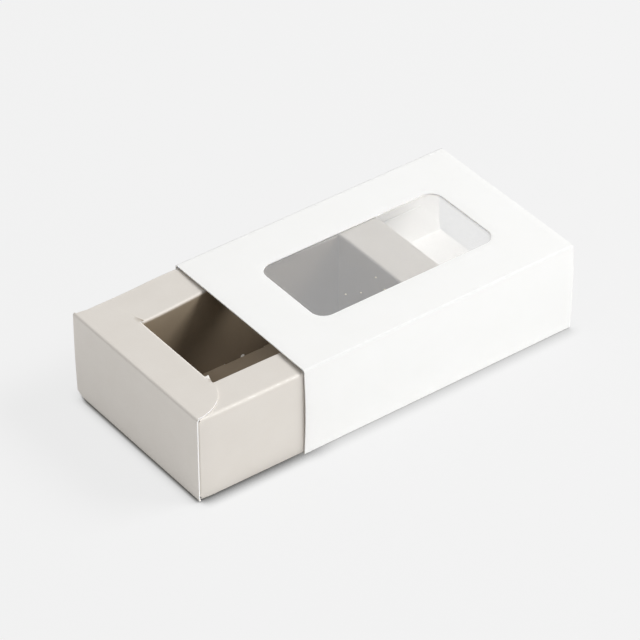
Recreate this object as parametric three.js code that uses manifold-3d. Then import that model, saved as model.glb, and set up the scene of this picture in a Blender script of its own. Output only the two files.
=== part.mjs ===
// A small slide box of folding board. A white folded sleeve, open at both ends, has a rounded
// window of clear film in its top. A pearl tray slides in it like a drawer, and its wide hollow
// walls frame one pocket. Each blank is split at its scored lines, so every panel is one solid.
// Millimetres, +Z up. The origin is the middle of the sleeve's underside, +Y points to the
// sleeve's rear, and the tray is shown drawn out of the mouth, towards -Y.

import * as THREE from "three";
import { mergeVertices } from "three/addons/utils/BufferGeometryUtils.js";
import Module from "manifold-3d";

// Board, film and glue
const trayBoard = 0.45;
const sleeveBoard = 0.45;
const filmThickness = 0.12;
const glueThickness = 0.05;
const foldInnerRadius = 0.3;

// Tray outside
const trayLength = 97;
const trayWidth = 60;
const trayHeight = 29;

// Tray rims, the flat tops of its hollow walls
const frontRimWidth = 13.3;
const rearRimWidth = 14.3;
const leftRimWidth = 14.5;
const rightRimWidth = 11.9;
const earInset = 0.45;

// Pocket corners: the short inner walls stop beside the long ones
const innerWallGap = 0.1;
const cornerSlot = 2.7;
const longWallEndGap = 0.8;

// Tongues that hold the feet of the inner walls in slots of the floor
const shortTongueLength = 10;
const longTongueLength = 14;
const tongueTipHeight = 0.1;
const tongueGap = 0.15;

// Corner tabs behind the end walls
const tabLength = 13;
const tabHeadroom = 1.2;
const tabGlueWidth = 4;
const tabGlueHeight = 18;
const earGlueRadius = 2.5;

// Sleeve
const sleeveLength = 97;
const sideClearance = 0.2;
const floorClearance = 0.05;
const topClearance = 0.1;
const glueFlapHeight = 12;
const glueFlapTaper = 7;
const seamGlueHeight = 5;
const seamGlueEndMargin = 9;

// Window, set by the margins of the top panel round it, and its film
const windowFrontMargin = 17.4;
const windowRearMargin = 15.3;
const windowSideMargin = 15.9;
const windowCornerRadius = 4.5;
const filmMargin = 7;
const filmCornerRadius = 1.5;
const filmGlueMargin = 1.5;

// How far the tray is drawn out
const pullOut = 35.9;

// Working values: steps in half a quarter turn of a fold and of a wide curve, and how far a cut
// runs past the board
const foldSteps = 3;
const curveSteps = 8;
const cutOverrun = 1;

// Sizes that follow
const trayFold = foldInnerRadius + trayBoard;
const sleeveFold = foldInnerRadius + sleeveBoard;
const filmStack = glueThickness + filmThickness;
const seamStack = sleeveBoard + glueThickness;
const sleeveWidth = trayWidth + 2 * sideClearance + seamStack + 2 * sleeveBoard;
const sleeveHeight =
  2 * sleeveBoard + floorClearance + trayHeight + topClearance + filmStack;
const windowFront = windowFrontMargin - sleeveLength / 2;
const windowRear = sleeveLength / 2 - windowRearMargin;
const windowSide = sleeveWidth / 2 - windowSideMargin;
const leftPocketFace = leftRimWidth - trayWidth / 2;
const rightPocketFace = trayWidth / 2 - rightRimWidth;
const shortWallLeft = leftPocketFace + innerWallGap;
const shortWallRight = rightPocketFace - cornerSlot;
const earGlueTop = trayHeight - trayBoard;
const sideTop = earGlueTop - glueThickness;
const sideStart = trayBoard + glueThickness + trayFold;
const sideEnd = trayLength - sideStart;

// Finishes
const pearlBoard = { color: 0xdbd4ce, roughness: 0.42, metalness: 0.3 };
const whiteBoard = { color: 0xf6f6f5, roughness: 0.6, metalness: 0 };
const driedGlue = { color: 0xe9e2cd, roughness: 0.5, metalness: 0 };
const clearFilm = {
  color: 0xdfe3e6,
  roughness: 0.08,
  metalness: 0,
  transparent: true,
  opacity: 0.35,
};

const wasm = await Module();
wasm.setup();

function piece(name, geometry, finish) {
  const mesh = new THREE.Mesh(geometry, new THREE.MeshStandardMaterial(finish));
  mesh.name = name;
  return mesh;
}

// Extrudes an outline from one place to another along an axis. The outline lies in the plane
// y z for the axis x, in x z for the axis y, and in x y for the axis z.
function extrude(axis, outline, from, to, steps = foldSteps) {
  const geometry = new THREE.ExtrudeGeometry(outline, {
    depth: to - from,
    bevelEnabled: false,
    curveSegments: steps,
  });
  const x = new THREE.Vector3(1, 0, 0);
  const y = new THREE.Vector3(0, 1, 0);
  const z = new THREE.Vector3(0, 0, 1);
  const place = new THREE.Matrix4();
  if (axis === "x") place.makeBasis(y, z, x);
  if (axis === "y") place.makeBasis(x, z, y.clone().negate());
  geometry.translate(0, 0, axis === "y" ? -to : from);
  return geometry.applyMatrix4(place);
}

function rectangle(uLow, uHigh, vLow, vHigh) {
  const outline = new THREE.Shape();
  outline.moveTo(uLow, vLow);
  outline.lineTo(uHigh, vLow);
  outline.lineTo(uHigh, vHigh);
  outline.lineTo(uLow, vHigh);
  return outline;
}

function roundedRectangle(uLow, uHigh, vLow, vHigh, radius) {
  const quarter = Math.PI / 2;
  const outline = new THREE.Shape();
  outline.absarc(uHigh - radius, vLow + radius, radius, -quarter, 0);
  outline.absarc(uHigh - radius, vHigh - radius, radius, 0, quarter);
  outline.absarc(uLow + radius, vHigh - radius, radius, quarter, Math.PI);
  outline.absarc(uLow + radius, vLow + radius, radius, Math.PI, 3 * quarter);
  return outline;
}

// The cross-section of a standing panel. Its outer face is at u = 0 and the board lies towards
// +u. A folded foot or head turns a quarter circle towards +u, where the next panel begins.
function panelSection(board, foot, head, footFolded, headFolded) {
  const fold = foldInnerRadius + board;
  const quarter = Math.PI / 2;
  const section = new THREE.Shape();
  if (footFolded) section.absarc(fold, foot + fold, fold, -quarter, -Math.PI, true);
  else section.moveTo(0, foot);
  if (headFolded) {
    section.absarc(fold, head - fold, fold, Math.PI, quarter, true);
    section.absarc(fold, head - fold, foldInnerRadius, quarter, Math.PI);
  } else {
    section.lineTo(0, head);
    section.lineTo(board, head);
  }
  if (footFolded) section.absarc(fold, foot + fold, foldInnerRadius, Math.PI, 3 * quarter);
  else section.lineTo(board, foot);
  return section;
}

// The same cross-section with its outer face moved to u = face, mirrored where the board lies
// towards -u.
function facing(section, face, direction) {
  return new THREE.Shape(
    section.getPoints(foldSteps).map((p) => new THREE.Vector2(face + direction * p.x, p.y)),
  );
}

function solidOf(geometry) {
  const bare = geometry.clone();
  bare.deleteAttribute("normal");
  bare.deleteAttribute("uv");
  const merged = mergeVertices(bare);
  return new wasm.Manifold(
    new wasm.Mesh({
      numProp: 3,
      vertProperties: new Float32Array(merged.attributes.position.array),
      triVerts: new Uint32Array(merged.index.array),
    }),
  );
}

function cut(geometry, cutters) {
  const mesh = cutters
    .reduce((solid, cutter) => solid.subtract(solidOf(cutter)), solidOf(geometry))
    .getMesh();
  const result = new THREE.BufferGeometry();
  result.setAttribute("position", new THREE.BufferAttribute(mesh.vertProperties, 3));
  result.setIndex(new THREE.BufferAttribute(mesh.triVerts, 1));
  result.computeVertexNormals();
  return result;
}

// An inner wall of the pocket: a panel with a folded head, whose foot stands on the floor and
// carries a tongue in its middle. It runs along an axis, between two ends.
function innerWall(axis, face, direction, head, start, end, tongueLength) {
  const section = facing(panelSection(trayBoard, tongueTipHeight, head, false, true), face, direction);
  const middle = (start + end) / 2;
  const low = tongueTipHeight - cutOverrun;
  const beside = [
    [start - cutOverrun, middle - tongueLength / 2],
    [middle + tongueLength / 2, end + cutOverrun],
  ];
  const near = face - direction * cutOverrun;
  const far = face + direction * (trayBoard + cutOverrun);
  return cut(
    extrude(axis, section, start, end),
    beside.map(([from, to]) => extrude(axis, rectangle(near, far, low, trayBoard), from, to)),
  );
}

// What is cut from the floor for the tongue of one inner wall
function tongueSlot(xMiddle, xLength, yMiddle, yLength) {
  const slot = rectangle(
    xMiddle - xLength / 2 - tongueGap,
    xMiddle + xLength / 2 + tongueGap,
    yMiddle - yLength / 2 - tongueGap,
    yMiddle + yLength / 2 + tongueGap,
  );
  return extrude("z", slot, -cutOverrun, trayBoard + cutOverrun);
}

function trayFloor() {
  const outline = rectangle(
    trayFold - trayWidth / 2,
    trayWidth / 2 - trayFold,
    trayFold,
    trayLength - trayFold,
  );
  const halfBoard = trayBoard / 2;
  const shortMiddle = (shortWallLeft + shortWallRight) / 2;
  const longMiddle = (sideStart + sideEnd) / 2;
  const slots = [
    tongueSlot(shortMiddle, shortTongueLength, frontRimWidth - halfBoard, trayBoard),
    tongueSlot(shortMiddle, shortTongueLength, trayLength - rearRimWidth + halfBoard, trayBoard),
    tongueSlot(leftPocketFace - halfBoard, trayBoard, longMiddle, longTongueLength),
    tongueSlot(rightPocketFace + halfBoard, trayBoard, longMiddle, longTongueLength),
  ];
  return piece("tray_floor", cut(extrude("z", outline, 0, trayBoard), slots), pearlBoard);
}

// The rim of an end wall, from the wall's fold at y = 0. Beyond the short inner wall's fold it
// carries two rounded ears, which lie on the rims of the side walls.
function rimWithEars(rimWidth) {
  const startAngle = Math.asin(trayFold / rimWidth);
  const quarter = Math.PI / 2;
  const earRight = shortWallRight + cornerSlot;
  const earLeft = shortWallLeft - cornerSlot;
  const rightReach = trayWidth / 2 - earInset - earRight;
  const leftReach = trayWidth / 2 - earInset + earLeft;
  const outline = new THREE.Shape();
  outline.absellipse(earRight, 0, rightReach, rimWidth, startAngle, quarter);
  outline.lineTo(shortWallRight, rimWidth);
  outline.lineTo(shortWallRight, rimWidth - trayFold);
  outline.lineTo(shortWallLeft, rimWidth - trayFold);
  outline.lineTo(shortWallLeft, rimWidth);
  outline.absellipse(earLeft, 0, leftReach, rimWidth, quarter, Math.PI - startAngle);
  return extrude("z", outline, trayHeight - trayBoard, trayHeight, curveSteps);
}

// One end of the tray, drawn as its front: outer wall, rim with ears, and short inner wall
function trayEnd(end, rimWidth) {
  const wall = extrude(
    "x",
    panelSection(trayBoard, 0, trayHeight, true, true),
    -trayWidth / 2,
    trayWidth / 2,
  );
  const inner = innerWall(
    "x",
    rimWidth,
    -1,
    trayHeight,
    shortWallLeft,
    shortWallRight,
    shortTongueLength,
  );
  const group = new THREE.Group();
  group.add(
    piece(`tray_${end}_wall`, wall, pearlBoard),
    piece(`tray_${end}_rim`, rimWithEars(rimWidth), pearlBoard),
    piece(`tray_${end}_inner_wall`, inner, pearlBoard),
  );
  return group;
}

// A corner tab: it leaves the side wall's end, turns behind the end wall and is glued to it.
// The side wall's outer face is at x = 0 and the end wall's at y = 0.
function cornerTab() {
  const quarter = Math.PI / 2;
  const back = trayBoard + glueThickness;
  const outline = new THREE.Shape();
  outline.absarc(trayFold, sideStart, trayFold, Math.PI, 3 * quarter);
  outline.lineTo(trayFold + tabLength, back);
  outline.lineTo(trayFold + tabLength, back + trayBoard);
  outline.absarc(trayFold, sideStart, foldInnerRadius, 3 * quarter, Math.PI, true);
  const foot = trayFold + tabHeadroom;
  return extrude("z", outline, foot, sideTop - trayFold - tabHeadroom);
}

function tabGlue() {
  const middleX = trayFold + tabLength / 2;
  const middleZ = sideTop / 2;
  const bead = roundedRectangle(
    middleX - tabGlueWidth / 2,
    middleX + tabGlueWidth / 2,
    middleZ - tabGlueHeight / 2,
    middleZ + tabGlueHeight / 2,
    tabGlueWidth / 2,
  );
  return extrude("y", bead, trayBoard, trayBoard + glueThickness);
}

// The glue dot under an ear, halfway between the pocket and the outer corner
function earGlue(sideRimWidth, endRimWidth) {
  const dot = new THREE.Shape();
  dot.absarc(sideRimWidth / 2, endRimWidth / 2, earGlueRadius, 0, 2 * Math.PI);
  return extrude("z", dot, sideTop, earGlueTop, curveSteps);
}

// One long side of the tray, drawn as its left side with the outer face at x = 0: outer wall,
// rim, long inner wall, and at each end a corner tab and the glue that holds the end on
function traySide(side, rimWidth) {
  const wall = extrude(
    "y",
    panelSection(trayBoard, 0, sideTop, true, true),
    sideStart,
    sideEnd,
  );
  const rimOutline = rectangle(trayFold, rimWidth - trayFold, sideStart, sideEnd);
  const inner = innerWall(
    "y",
    rimWidth,
    -1,
    sideTop,
    sideStart + longWallEndGap,
    sideEnd - longWallEndGap,
    longTongueLength,
  );
  const group = new THREE.Group();
  group.add(
    piece(`tray_${side}_wall`, wall, pearlBoard),
    piece(`tray_${side}_rim`, extrude("z", rimOutline, sideTop - trayBoard, sideTop), pearlBoard),
    piece(`tray_${side}_inner_wall`, inner, pearlBoard),
  );
  const ends = [
    ["front", frontRimWidth, 1, 0],
    ["rear", rearRimWidth, -1, trayLength],
  ];
  for (const [end, endRimWidth, direction, y] of ends) {
    const corner = new THREE.Group();
    corner.scale.y = direction;
    corner.position.y = y;
    corner.add(
      piece(`tray_${side}_${end}_tab`, cornerTab(), pearlBoard),
      piece(`tray_${side}_${end}_tab_glue`, tabGlue(), driedGlue),
      piece(`tray_${side}_${end}_ear_glue`, earGlue(rimWidth, endRimWidth), driedGlue),
    );
    group.add(corner);
  }
  return group;
}

function makeTray() {
  const front = trayEnd("front", frontRimWidth);
  const rear = trayEnd("rear", rearRimWidth);
  rear.scale.y = -1;
  rear.position.y = trayLength;
  const left = traySide("left", leftRimWidth);
  left.position.x = -trayWidth / 2;
  const right = traySide("right", rightRimWidth);
  right.scale.x = -1;
  right.position.x = trayWidth / 2;
  const tray = new THREE.Group();
  tray.add(trayFloor(), front, rear, left, right);
  return tray;
}

// The window's outline, a margin wider all round
function aroundWindow(margin, radius) {
  return roundedRectangle(
    -windowSide - margin,
    windowSide + margin,
    windowFront - margin,
    windowRear + margin,
    radius,
  );
}

// The top panel with its window, between the two top folds
function sleeveTop() {
  const flat = sleeveWidth / 2 - sleeveFold;
  const outline = rectangle(-flat, flat, -sleeveLength / 2, sleeveLength / 2);
  outline.holes.push(aroundWindow(0, windowCornerRadius));
  const geometry = extrude("z", outline, sleeveHeight - sleeveBoard, sleeveHeight);
  return piece("sleeve_top_panel", geometry, whiteBoard);
}

// The clear film inside the top panel, and the frame of glue that holds it round the window
function windowFilm() {
  const glueTop = sleeveHeight - sleeveBoard;
  const filmTop = glueTop - glueThickness;
  const glueOutline = aroundWindow(filmMargin - filmGlueMargin, filmCornerRadius);
  glueOutline.holes.push(aroundWindow(filmGlueMargin, windowCornerRadius + filmGlueMargin));
  const filmOutline = aroundWindow(filmMargin, filmCornerRadius);
  const film = extrude("z", filmOutline, filmTop - filmThickness, filmTop);
  return [
    piece("window_film", film, clearFilm),
    piece("window_film_glue", extrude("z", glueOutline, filmTop, glueTop), driedGlue),
  ];
}

// The sleeve's right wall carries both folds. The left wall ends in a cut edge at its foot,
// where it covers the glue flap of the bottom panel.
function sleeveWalls() {
  const half = sleeveWidth / 2;
  const front = -sleeveLength / 2;
  const rear = sleeveLength / 2;
  const folded = panelSection(sleeveBoard, 0, sleeveHeight, true, true);
  const open = panelSection(sleeveBoard, 0, sleeveHeight, false, true);
  const bottom = rectangle(seamStack + sleeveFold - half, half - sleeveFold, front, rear);
  return [
    piece("sleeve_right_panel", extrude("y", facing(folded, half, -1), front, rear), whiteBoard),
    piece("sleeve_left_panel", extrude("y", facing(open, -half, 1), front, rear), whiteBoard),
    piece("sleeve_bottom_panel", extrude("z", bottom, 0, sleeveBoard), whiteBoard),
  ];
}

// The glue flap folds up from the bottom panel, inside the left wall. Its ends are cut back at
// an angle above the fold.
function glueFlap() {
  const face = seamStack - sleeveWidth / 2;
  const section = facing(
    panelSection(sleeveBoard, 0, glueFlapHeight, true, false),
    face,
    1,
  );
  const end = sleeveLength / 2;
  const ends = [-1, 1].map((side) => {
    const corner = new THREE.Shape();
    corner.moveTo(side * (end + cutOverrun), sleeveFold);
    corner.lineTo(side * end, sleeveFold);
    corner.lineTo(side * (end - glueFlapTaper), glueFlapHeight);
    corner.lineTo(side * (end - glueFlapTaper), glueFlapHeight + cutOverrun);
    corner.lineTo(side * (end + cutOverrun), glueFlapHeight + cutOverrun);
    return extrude("x", corner, face - cutOverrun, face + sleeveFold + cutOverrun);
  });
  return piece("sleeve_glue_flap", cut(extrude("y", section, -end, end), ends), whiteBoard);
}

function seamGlue() {
  const face = sleeveBoard - sleeveWidth / 2;
  const end = sleeveLength / 2 - seamGlueEndMargin;
  const middle = (sleeveFold + glueFlapHeight) / 2;
  const bead = roundedRectangle(
    -end,
    end,
    middle - seamGlueHeight / 2,
    middle + seamGlueHeight / 2,
    seamGlueHeight / 2,
  );
  return piece("sleeve_seam_glue", extrude("x", bead, face, face + glueThickness), driedGlue);
}

const sleeve = new THREE.Group();
sleeve.add(sleeveTop(), ...windowFilm(), ...sleeveWalls(), glueFlap(), seamGlue());

const tray = makeTray();
tray.position.set(
  seamStack / 2,
  -sleeveLength / 2 - pullOut,
  sleeveBoard + floorClearance,
);

const slideBox = new THREE.Group();
slideBox.add(sleeve, tray);

export default slideBox;
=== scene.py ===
"""A slide box of folding board: a white sleeve with a film window, and a pearl tray with hollow walls.

Sizes are in millimetres and are brought to metres where a mesh or a node takes them. Only the lights
and the camera are placed in metres.
"""

import math

import bmesh
import bpy
from mathutils import Matrix, Vector
from mathutils.geometry import area_tri, delaunay_2d_cdt


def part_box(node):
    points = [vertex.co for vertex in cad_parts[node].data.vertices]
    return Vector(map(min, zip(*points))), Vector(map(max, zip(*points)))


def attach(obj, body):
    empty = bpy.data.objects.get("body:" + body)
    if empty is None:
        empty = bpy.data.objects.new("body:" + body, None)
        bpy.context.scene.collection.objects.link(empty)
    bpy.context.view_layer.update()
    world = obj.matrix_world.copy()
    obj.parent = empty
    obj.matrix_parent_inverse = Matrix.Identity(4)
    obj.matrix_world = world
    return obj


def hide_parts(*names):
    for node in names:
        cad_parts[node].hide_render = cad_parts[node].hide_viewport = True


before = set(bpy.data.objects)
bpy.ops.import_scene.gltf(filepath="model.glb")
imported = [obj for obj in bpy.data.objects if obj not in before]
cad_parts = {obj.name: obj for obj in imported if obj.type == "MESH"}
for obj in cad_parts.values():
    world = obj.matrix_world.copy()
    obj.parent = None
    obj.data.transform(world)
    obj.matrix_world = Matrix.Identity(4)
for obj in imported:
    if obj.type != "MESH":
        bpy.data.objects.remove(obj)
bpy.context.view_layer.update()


# The sleeve. It is one die-cut blank of white folding board, coated side out, scored at four lines
# and folded into a tube. The bottom's narrow flap is glued inside the left wall, whose foot is raw.

MM = 0.001

# What counts as nothing where a blank is cut up: a length, a gap that is welded and a triangle's area
TINY = 0.000001
WELD = 0.00001
SLIVER = 0.0001


def box_mm(node):
    """Lowest and highest corner of a modelled piece, in millimetres."""
    low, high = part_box(node)
    return low / MM, high / MM


def unit(angle):
    """A step of one millimetre at an angle, in cross-section."""
    return Vector((math.cos(angle), math.sin(angle)))


class Strip:
    """The outer face of a strip of board in cross-section: flats joined by quarter-round folds that
    all turn to the right of the way it runs."""

    def __init__(self, start, heading, flats, radius):
        self.radius = radius
        self.quarter = radius * math.pi / 2
        self.flats = []
        point, begin = Vector(start), 0
        for length in flats:
            self.flats.append((begin, begin + length, point, heading))
            along = unit(heading)
            centre = point + along * length + unit(heading - math.pi / 2) * radius
            point = centre + along * radius
            begin += length + self.quarter
            heading -= math.pi / 2

    def begin(self, number):
        """How far along the strip a flat begins. The first flat is number 0."""
        return self.flats[number][0]

    def end(self, number):
        return self.flats[number][1]

    def on_flat(self, number, s):
        """Place and outward normal on one flat, or on the flat carried on past its folds."""
        begin, _, point, heading = self.flats[number]
        return point + unit(heading) * (s - begin), unit(heading + math.pi / 2)

    def at(self, s):
        """Place and outward normal at a distance along the strip."""
        for number, (_, end, _, heading) in enumerate(self.flats):
            if s <= end or number == len(self.flats) - 1:
                return self.on_flat(number, s)
            if s < end + self.quarter:
                start, _ = self.on_flat(number, end)
                normal = unit(heading + math.pi / 2 - (s - end) / self.radius)
                return start + unit(heading - math.pi / 2) * self.radius + normal * self.radius, normal

    def nearness(self, s, reach):
        """How near each fold is: 1 along its middle, down to 0 at a distance from there."""
        middles = [end + self.quarter / 2 for _, end, _, _ in self.flats[:-1]]
        return [max(0, 1 - abs(s - middle) / reach) for middle in middles]

    def rows(self, spacing, fold_rows, reach):
        """Distances along the strip where the board needs a row of points, and which are at folds."""
        found = []
        for number, (begin, end, _, _) in enumerate(self.flats):
            first = begin if number == 0 else begin + reach
            last = end if number == len(self.flats) - 1 else end - reach
            if last > first:
                count = max(1, round((last - first) / spacing))
                found += [(first + (last - first) * k / count, False) for k in range(count + 1)]
            if number < len(self.flats) - 1:
                found += [(end + self.quarter * k / fold_rows, True) for k in range(fold_rows + 1)]
        return found


def along_line(a, b, spacing):
    """Points from a up to but not including b."""
    count = max(1, round((b - a).length / spacing))
    return [a.lerp(b, k / count) for k in range(count)]


def arc(centre, radii, first, last, steps):
    """Points of an elliptical arc, angles in quarter turns."""
    quarter = math.pi / 2
    angles = [(first + (last - first) * k / steps) * quarter for k in range(steps + 1)]
    return [
        Vector((centre[0] + radii[0] * math.cos(a), centre[1] + radii[1] * math.sin(a))) for a in angles
    ]


def rounded_rectangle(low, high, radius, steps=8):
    corners = [(high, low, 3), (high, high, 4), (low, high, 5), (low, low, 6)]
    outline = []
    for x_side, y_side, turn in corners:
        x = x_side[0] + (radius if x_side is low else -radius)
        y = y_side[1] + (radius if y_side is low else -radius)
        outline += arc((x, y), (radius, radius), turn, turn + 1, steps)
    return outline


class Blank:
    """A flat sheet, die-cut to outlines: the outer edge first, then its cut-outs. fold_up() folds it
    and gives it its thickness."""

    def __init__(self, outlines, spacing, shoulder=0.25):
        self.outlines = outlines
        self.points, self.edges = [], []
        for outline in outlines:
            line = []
            for k, corner in enumerate(outline):
                line += along_line(corner, outline[(k + 1) % len(outline)], spacing)
            self.add_line(line, closed=True)
        self.rim_count = len(self.points)
        for k in range(self.rim_count):
            self.add_shoulder(k, shoulder)

    def add_line(self, points, closed=False):
        first = len(self.points)
        self.points += points
        last = len(self.points) - 1
        self.edges += [(k, k + 1) for k in range(first, last)]
        if closed:
            self.edges.append((last, first))

    def add_shoulder(self, k, distance):
        """A point just inside the cut edge, so that shading stays crisp beside it."""
        a, b = self.edges[k]
        way = self.points[b] - self.points[a]
        if way.length < TINY:
            return
        middle = (self.points[a] + self.points[b]) / 2
        side = Vector((-way.y, way.x)).normalized() * distance
        self.add_spots((middle + side, middle - side))

    def inside(self, spot):
        """Whether a flat point lies on the board, and not beyond its edge or in a cut-out."""
        found = False
        for outline in self.outlines:
            before = outline[-1]
            for corner in outline:
                if (corner.y > spot.y) != (before.y > spot.y):
                    share = (spot.y - before.y) / (corner.y - before.y)
                    if spot.x < before.x + share * (corner.x - before.x):
                        found = not found
                before = corner
        return found

    def add_spots(self, spots):
        """Adds those of the points that lie on the board."""
        self.points += [spot for spot in spots if self.inside(spot)]

    def add_grid(self, columns, rows):
        self.add_spots(Vector((x, y)) for x in columns for y in rows)

    def fold_up(self, name, place, thickness, finishes, crush=0.03):
        """place() gives a flat point's place in space, its outward normal, how far its coating is split
        off there together with the painted light along folds, and how far it lies in a pocket's painted
        shade. finishes are for the outer face, the inner one and the cut edges, along which crush
        presses both faces in."""
        spots, _, faces, origins, _, _ = delaunay_2d_cdt(self.points, self.edges, [], 0, WELD)
        faces = [f for f in faces if self.inside(sum((spots[k] for k in f), Vector((0, 0))) / 3)]
        faces = [f for f in faces if area_tri(*(spots[k] for k in f)) > SLIVER]
        on_rim = {k for k, sources in enumerate(origins) if any(s < self.rim_count for s in sources)}
        mesh = bmesh.new()
        bare_and_painted_light = mesh.verts.layers.float.new("bare_and_painted_light")
        pocket = mesh.verts.layers.float.new("pocket")
        outer, inner = {}, {}
        for k in sorted({k for f in faces for k in f}):
            point, normal, bareness_and_painted_light, shade_depth = place(spots[k])
            lowered = crush if k in on_rim else 0
            outer[k] = mesh.verts.new((point - normal * lowered) * MM)
            inner[k] = mesh.verts.new((point - normal * (thickness - lowered)) * MM)
            outer[k][bare_and_painted_light] = inner[k][bare_and_painted_light] = bareness_and_painted_light
            outer[k][pocket] = shade_depth
        turned = self.is_turned(faces[0], spots, place)
        sides = {}
        for a, b, c in faces:
            if turned:
                b, c = c, b
            mesh.faces.new((outer[a], outer[b], outer[c])).material_index = 0
            mesh.faces.new((inner[a], inner[c], inner[b])).material_index = 1
            for edge in ((a, b), (b, c), (c, a)):
                if edge[::-1] in sides:
                    del sides[edge[::-1]]
                else:
                    sides[edge] = True
        for face in mesh.faces:
            face.smooth = True
        for a, b in sides:
            side = mesh.faces.new((outer[b], outer[a], inner[a], inner[b]))
            side.material_index = 2
            side.smooth = False
            for edge in side.edges:
                edge.smooth = False
        data = bpy.data.meshes.new(name)
        mesh.to_mesh(data)
        mesh.free()
        for finish in finishes:
            data.materials.append(finish)
        made = bpy.data.objects.new(name, data)
        bpy.context.scene.collection.objects.link(made)
        return made

    @staticmethod
    def is_turned(face, spots, place):
        """True where folding turns a counter-clockwise triangle to face into the board."""
        a, b, c = (place(spots[k])[0] for k in face)
        return (b - a).cross(c - a).dot(place(spots[face[0]])[1]) < 0


class Value:
    """A node's output in a sum of shader values."""

    def __init__(self, finish, socket):
        self.finish = finish
        self.socket = socket

    def sum(self, operation, *terms):
        return self.finish.node("ShaderNodeMath", {"operation": operation}, dict(enumerate(terms)))

    def __add__(self, other):
        return self.sum("ADD", self, other)

    def __radd__(self, other):
        return self.sum("ADD", other, self)

    def __sub__(self, other):
        return self.sum("SUBTRACT", self, other)

    def __rsub__(self, other):
        return self.sum("SUBTRACT", other, self)

    def __mul__(self, other):
        return self.sum("MULTIPLY", self, other)

    def __rmul__(self, other):
        return self.sum("MULTIPLY", other, self)

    def __pow__(self, other):
        return self.sum("POWER", self, other)

    def between(self, low, high):
        """0 below low, 1 above high, and a smooth rise from one to the other."""
        settings = {"interpolation_type": "SMOOTHSTEP"}
        sockets = {"Value": self, "From Min": low, "From Max": high}
        return self.finish.node("ShaderNodeMapRange", settings, sockets)


class Finish:
    """The nodes of a material or of the room's backdrop."""

    def __init__(self, owner):
        owner.use_nodes = True
        self.owner = owner
        self.tree = owner.node_tree
        self.tree.nodes.clear()

    def node(self, kind, settings=None, sockets=None, output=0):
        """Adds a node, sets its settings, then the values or links of its sockets."""
        made = self.tree.nodes.new(kind)
        for name, value in (settings or {}).items():
            setattr(made, name, value)
        for key, value in (sockets or {}).items():
            if isinstance(value, Value):
                self.tree.links.new(value.socket, made.inputs[key])
            else:
                made.inputs[key].default_value = value
        return Value(self, made.outputs[output])

    def attribute(self, name):
        """A number that the mesh holds for each of its points."""
        return self.node("ShaderNodeAttribute", {"attribute_name": name}, output="Fac")

    def grain(self, size, detail=2.0, stretch=(1, 1, 1)):
        """Noise from 0 to 1 whose blots measure size, in millimetres, times the stretch."""
        place = self.node("ShaderNodeTexCoord", output="Object")
        scale = [1 / (MM * size * k) for k in stretch]
        place = self.node("ShaderNodeVectorMath", {"operation": "MULTIPLY"}, {0: place, 1: scale})
        return self.node("ShaderNodeTexNoise", {}, {"Vector": place, "Scale": 1, "Detail": detail})

    def mix(self, share, first, second):
        """A colour between two. Sockets 6, 7 and 2 are a Mix node's own for colours."""
        return self.node("ShaderNodeMix", {"data_type": "RGBA"}, {0: share, 6: first, 7: second}, 2)

    def blend(self, share, first, second):
        """A shader between two."""
        return self.node("ShaderNodeMixShader", {}, {0: share, 1: first, 2: second})

    def ray(self, question):
        """1 where the answer is yes for the ray of light that is followed, such as Is Camera Ray."""
        return self.node("ShaderNodeLightPath", output=question)

    def bump(self, height, depth):
        """A normal from a height of 0 to 1 that stands for a depth in millimetres."""
        return self.node("ShaderNodeBump", {}, {"Height": height, "Distance": depth * MM, "Strength": 1})

    def end(self, shader, kind="ShaderNodeOutputMaterial"):
        out = self.tree.nodes.new(kind)
        self.tree.links.new(shader.socket, out.inputs["Surface"])
        return self.owner

    def principled(self, sockets):
        return self.end(self.node("ShaderNodeBsdfPrincipled", {}, sockets))


def material(name):
    return Finish(bpy.data.materials.new(name))


def paint(red, green, blue):
    """A colour given in 8-bit screen values, as the shaders take it."""
    shares = [v / 255 for v in (red, green, blue)]
    return [v / 12.92 if v <= 0.04045 else ((v + 0.055) / 1.055) ** 2.4 for v in shares] + [1]


def coated_white():
    """The sleeve's outer face: matt-sealed white board, a little cloudy, duller where it is rubbed, and
    painted greyer along its folds: partly wear, and partly painted shade that dims the folds'
    highlights.
    """
    finish = material("coated_white_board")
    cloud = finish.grain(9, 3)
    fibre = finish.grain(0.35, 3, (1, 2.5, 1))
    bare_and_painted_light = finish.attribute("bare_and_painted_light")
    wear_and_painted_light = bare_and_painted_light * finish.grain(0.6, 2, (1, 3, 1)).between(0.35, 0.65)
    colour = finish.mix(cloud, paint(243, 243, 241), paint(246, 246, 245))
    # Painted shade, partly wear: the folds are painted grey, which dims their highlights
    colour = finish.mix(bare_and_painted_light.between(0, 0.6) * 0.6 + wear_and_painted_light * 0.3, colour, paint(222, 222, 221))
    return finish.principled({
        "Base Color": colour,
        "Roughness": 0.5 + wear_and_painted_light * 0.2 + (fibre - 0.5) * 0.12,
        "Specular IOR Level": 0.4,
        "Normal": finish.bump(fibre + wear_and_painted_light, 0.006),
    })


def white_back():
    """The sleeve's inner face: the same board without its coating, with soft fibres."""
    finish = material("bare_white_back")
    fibre = finish.grain(0.5, 4, (1, 3, 1))
    cloud = finish.grain(6, 3)
    colour = finish.mix(cloud, paint(244, 243, 241), paint(248, 247, 245))
    colour = finish.mix(fibre.between(0.55, 0.75) * 0.4, colour, paint(238, 236, 232))
    return finish.principled({
        "Base Color": colour,
        "Roughness": 0.8 + (fibre - 0.5) * 0.2,
        "Specular IOR Level": 0.25,
        "Normal": finish.bump(fibre, 0.015),
    })


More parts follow.
